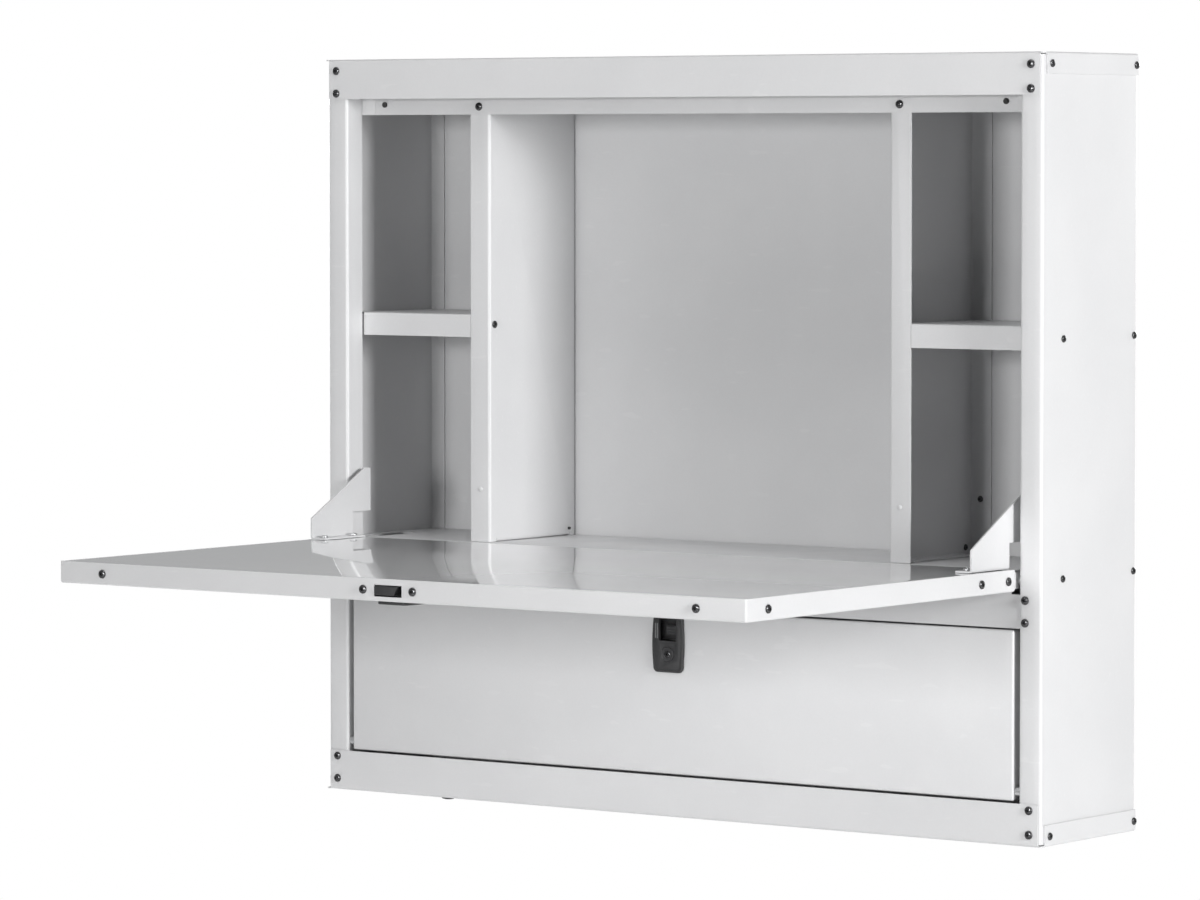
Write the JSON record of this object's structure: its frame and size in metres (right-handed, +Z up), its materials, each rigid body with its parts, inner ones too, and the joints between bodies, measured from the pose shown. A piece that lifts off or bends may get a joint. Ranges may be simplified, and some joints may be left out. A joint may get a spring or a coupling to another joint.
{
  "type": "secretary desk",
  "caption": "Wall-hung folded-steel secretary desk: a shallow cabinet with cubbies behind a drop-down work flap on stay brackets, and a lower drop-down door.",
  "frame": {"origin": "middle of the back, on the wall plane", "axes": "+X across the front, +Y into the wall, +Z up"},
  "size_m": [0.75, 0.537, 0.652],
  "materials": {
    "powder_coat": "light grey-white powder coat, satin, with a very fine texture",
    "gloss_work_surface": "high-gloss light grey lacquer that mirrors what stands on it",
    "black_plastic": "black moulded plastic, semi-matt",
    "black_screws": "black-zinc pan-head screws",
    "bare_steel": "zinc-plated steel",
    "rubber": "black rubber"
  },
  "bodies": {
    "cabinet": {"back_panel": "powder_coat", "bottom_cap": "powder_coat", "bottom_cap_screw_left_inner": "black_screws", "bottom_cap_screw_left_outer": "black_screws", "bottom_cap_screw_right_inner": "black_screws", "bottom_cap_screw_right_outer": "black_screws", "divider_left": "powder_coat", "divider_right": "powder_coat", "divider_screw_left": "black_screws", "divider_screw_right": "black_screws", "floor_screw_left_lower": "black_screws", "floor_screw_left_upper": "black_screws", "floor_screw_right_lower": "black_screws", "floor_screw_right_upper": "black_screws", "mid_floor": "powder_coat", "rail_bumper_left": "rubber", "rail_bumper_right": "rubber", "shelf_left": "powder_coat", "shelf_right": "powder_coat", "side_panel_left": "powder_coat", "side_panel_right": "powder_coat", "top_cap": "powder_coat", "top_cap_screw_left_inner": "black_screws", "top_cap_screw_left_outer": "black_screws", "top_cap_screw_right_inner": "black_screws", "top_cap_screw_right_outer": "black_screws", "top_rail": "powder_coat", "underside_plug": "rubber"},
    "flap": {"arm_screw_left_front": "black_screws", "arm_screw_left_rear": "black_screws", "arm_screw_right_front": "black_screws", "arm_screw_right_rear": "black_screws", "flap_latch_housing": "black_plastic", "flap_latch_spring": "bare_steel", "flap_pan": "powder_coat", "flap_pivot_pin_left": "bare_steel", "flap_pivot_pin_right": "bare_steel", "hinge_arm_left": "powder_coat", "hinge_arm_right": "powder_coat", "stay_bracket_left": "powder_coat", "stay_bracket_right": "powder_coat", "stay_screw_left_front": "bare_steel", "stay_screw_left_rear": "bare_steel", "stay_screw_right_front": "bare_steel", "stay_screw_right_rear": "bare_steel", "work_surface": "gloss_work_surface"},
    "door": {"door_latch_housing": "black_plastic", "door_latch_spring": "bare_steel", "door_liner": "powder_coat", "door_pan": "powder_coat", "door_pivot_pin_left": "bare_steel", "door_pivot_pin_right": "bare_steel"},
    "flap_bolt": {"flap_latch_bolt": "black_plastic"},
    "door_bolt": {"door_latch_bolt": "black_plastic"},
    "flap_key": {"flap_key_cylinder": "black_plastic"},
    "door_key": {"door_key_cylinder": "black_plastic"}
  },
  "joints": [
    {"name": "flap_hinge", "type": "hinge", "parent": "cabinet", "child": "flap", "pos_m": [0, -0.141, -0.1072], "axis": [-1, 0, 0], "range_deg": [0, 90]},
    {"name": "door_hinge", "type": "hinge", "parent": "cabinet", "child": "door", "pos_m": [0, -0.1435, -0.281], "axis": [1, 0, 0], "range_deg": [0, 104]},
    {"name": "flap_bolt_slide", "type": "slide", "parent": "flap", "child": "flap_bolt", "axis": [0, -1, 0], "range_m": [0, 0.005]},
    {"name": "door_bolt_slide", "type": "slide", "parent": "door", "child": "door_bolt", "axis": [0, 0, 1], "range_m": [0, 0.005]},
    {"name": "flap_key_turn", "type": "hinge", "parent": "flap", "child": "flap_key", "pos_m": [0, -0.4987, -0.1162], "axis": [0, 0, -1], "range_deg": [0, 90]},
    {"name": "door_key_turn", "type": "hinge", "parent": "door", "child": "door_key", "pos_m": [0, -0.15, -0.1856], "axis": [0, -1, 0], "range_deg": [0, 90]}
  ]
}
